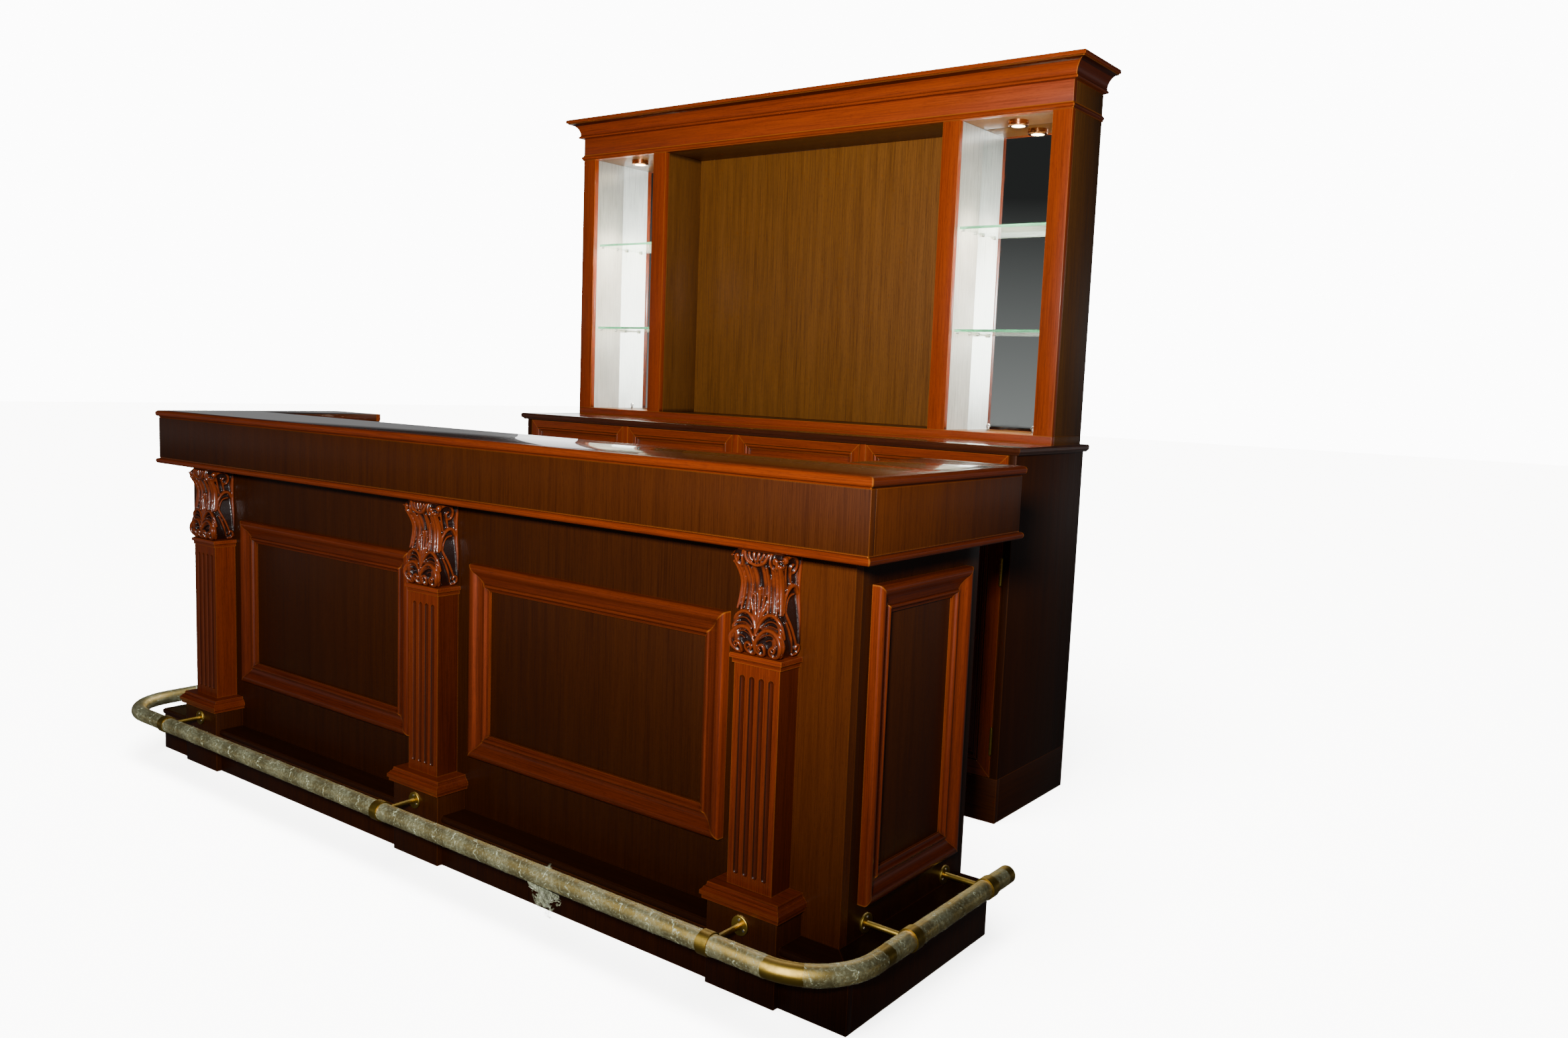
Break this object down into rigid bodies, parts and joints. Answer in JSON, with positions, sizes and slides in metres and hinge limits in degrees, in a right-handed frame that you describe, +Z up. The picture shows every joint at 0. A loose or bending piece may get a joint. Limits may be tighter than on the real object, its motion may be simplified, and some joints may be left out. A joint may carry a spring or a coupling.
{
  "type": "home bar",
  "caption": "Traditional mahogany home bar: raised front counter with carved pilasters and brass foot rail, and a back bar with drawers, doors, glass shelves and mirrored niches.",
  "frame": {"origin": "bottom centre of the whole set, on the floor, in the aisle between the two units", "axes": "+X along the bars to the right as the guests see them, +Y from the guests to the wall behind, +Z up"},
  "size_m": [2.737, 1.8164, 2.182],
  "materials": {
    "mahogany_veneer": "satin lacquered dark mahogany veneer",
    "mahogany_moulding": "satin lacquered red mahogany",
    "lacquered_top": "high gloss lacquered mahogany",
    "recess_veneer": "satin lacquered veneer",
    "carved_mahogany": "carved and lacquered mahogany",
    "inner_boards": "matt veneered board",
    "drawer_birch": "clear lacquered birch board",
    "brass": "polished brass",
    "copper": "polished copper plate",
    "steel": "zinc plated",
    "satin_lining": "pale satin laminate",
    "mirror": "silvered glass",
    "glass": "clear float glass",
    "lamp_glass": "frosted glass"
  },
  "bodies": {
    "root": {"apron_boards": "mahogany_veneer", "apron_moulding": "mahogany_moulding", "astragal": "mahogany_moulding", "bar_top": "lacquered_top", "block_caps": "mahogany_moulding", "cabinet_back": "inner_boards", "cabinet_carcass": "mahogany_moulding", "cabinet_plinth": "mahogany_veneer", "cabinet_sides": "mahogany_veneer", "capitals": "carved_mahogany", "counter_top": "lacquered_top", "crown": "mahogany_moulding", "door_hinges": "brass", "drawer_runners": "steel", "face_frame": "mahogany_moulding", "foot_rail": "brass", "frieze_board": "mahogany_moulding", "front_frames": "mahogany_moulding", "front_wall": "mahogany_veneer", "glass_shelves": "glass", "hutch_back": "recess_veneer", "hutch_carcass": "mahogany_veneer", "inset_panels": "mahogany_veneer", "lamp_housings": "copper", "lamp_lenses": "lamp_glass", "neck_mouldings": "mahogany_moulding", "niche_linings": "satin_lining", "niche_mirrors": "mirror", "pilaster_shafts": "mahogany_moulding", "plinth_blocks": "mahogany_veneer", "rail_fittings": "brass", "rail_screws": "brass", "service_shelving": "inner_boards", "shelf_clips": "steel", "side_frames": "mahogany_moulding", "side_walls": "mahogany_veneer", "step_risers": "mahogany_veneer", "step_treads": "mahogany_moulding", "top_lip": "mahogany_moulding", "wing_panels": "mahogany_veneer"},
    "drawer_1": {"drawer_front_1": "mahogany_moulding", "drawer_box_1": "drawer_birch", "drawer_knob_1": "brass"},
    "drawer_2": {"drawer_front_2": "mahogany_moulding", "drawer_box_2": "drawer_birch", "drawer_knob_2": "brass"},
    "drawer_3": {"drawer_front_3": "mahogany_moulding", "drawer_box_3": "drawer_birch", "drawer_knob_3": "brass"},
    "drawer_4": {"drawer_front_4": "mahogany_moulding", "drawer_box_4": "drawer_birch", "drawer_knob_4": "brass"},
    "door_1": {"door_1": "mahogany_moulding", "door_hardware_1": "brass"},
    "door_2": {"door_2": "mahogany_moulding", "door_hardware_2": "brass"},
    "door_3": {"door_3": "mahogany_moulding", "door_hardware_3": "brass"},
    "door_4": {"door_4": "mahogany_moulding", "door_hardware_4": "brass"}
  },
  "joints": [
    {"name": "drawer_1_slide", "type": "slide", "parent": "root", "child": "drawer_1", "axis": [0, -1, 0], "range_m": [0, 0.33]},
    {"name": "drawer_2_slide", "type": "slide", "parent": "root", "child": "drawer_2", "axis": [0, -1, 0], "range_m": [0, 0.33]},
    {"name": "drawer_3_slide", "type": "slide", "parent": "root", "child": "drawer_3", "axis": [0, -1, 0], "range_m": [0, 0.33]},
    {"name": "drawer_4_slide", "type": "slide", "parent": "root", "child": "drawer_4", "axis": [0, -1, 0], "range_m": [0, 0.33]},
    {"name": "door_1_hinge", "type": "hinge", "parent": "root", "child": "door_1", "pos_m": [-0.9768, 0.44225, 0.5071], "axis": [0, 0, -1], "range_deg": [0, 100]},
    {"name": "door_2_hinge", "type": "hinge", "parent": "root", "child": "door_2", "pos_m": [-0.4823, 0.44225, 0.5071], "axis": [0, 0, -1], "range_deg": [0, 100]},
    {"name": "door_3_hinge", "type": "hinge", "parent": "root", "child": "door_3", "pos_m": [0.4823, 0.44225, 0.5071], "axis": [0, 0, 1], "range_deg": [0, 100]},
    {"name": "door_4_hinge", "type": "hinge", "parent": "root", "child": "door_4", "pos_m": [0.9768, 0.44225, 0.5071], "axis": [0, 0, 1], "range_deg": [0, 100]}
  ]
}
